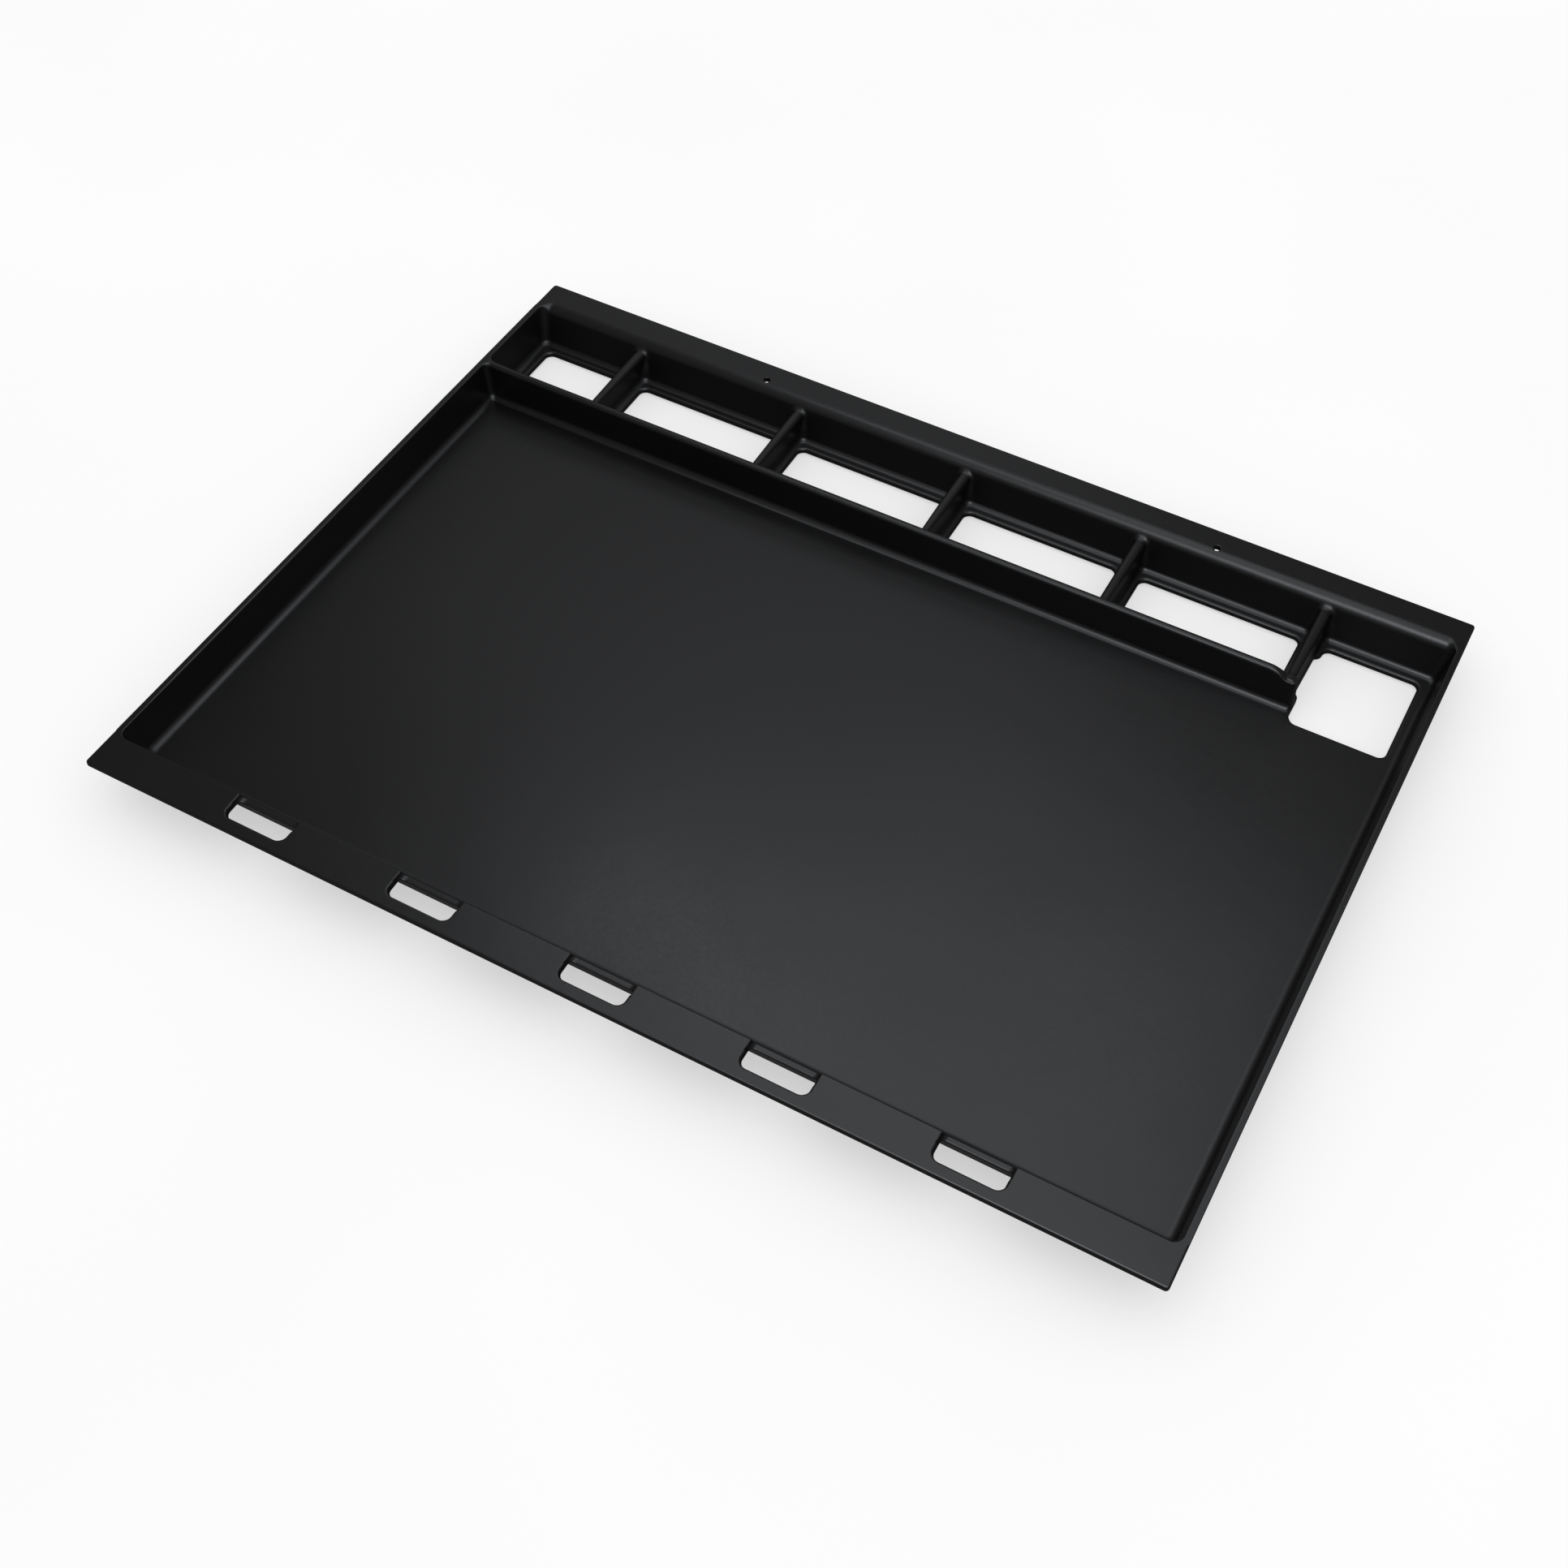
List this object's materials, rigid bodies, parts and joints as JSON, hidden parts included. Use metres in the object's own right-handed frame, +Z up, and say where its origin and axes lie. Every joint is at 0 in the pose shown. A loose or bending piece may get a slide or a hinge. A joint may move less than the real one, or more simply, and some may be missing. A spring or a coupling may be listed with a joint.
{
  "type": "barbecue griddle plate",
  "caption": "Cast griddle plate for a gas barbecue: shallow cooking pan with a slotted front strip, a ribbed and vented rear trough and a corner drain opening.",
  "frame": {"origin": "centre of the rectangular outline, on the underside of the pan", "axes": "+X to the drain corner's side, +Y to the vented rear trough, +Z up out of the pan"},
  "size_m": [0.6, 0.448, 0.028],
  "materials": {
    "enamel": "black vitreous enamel over cast iron, semi-gloss"
  },
  "bodies": {
    "root": {"griddle_casting": "enamel"}
  },
  "joints": []
}
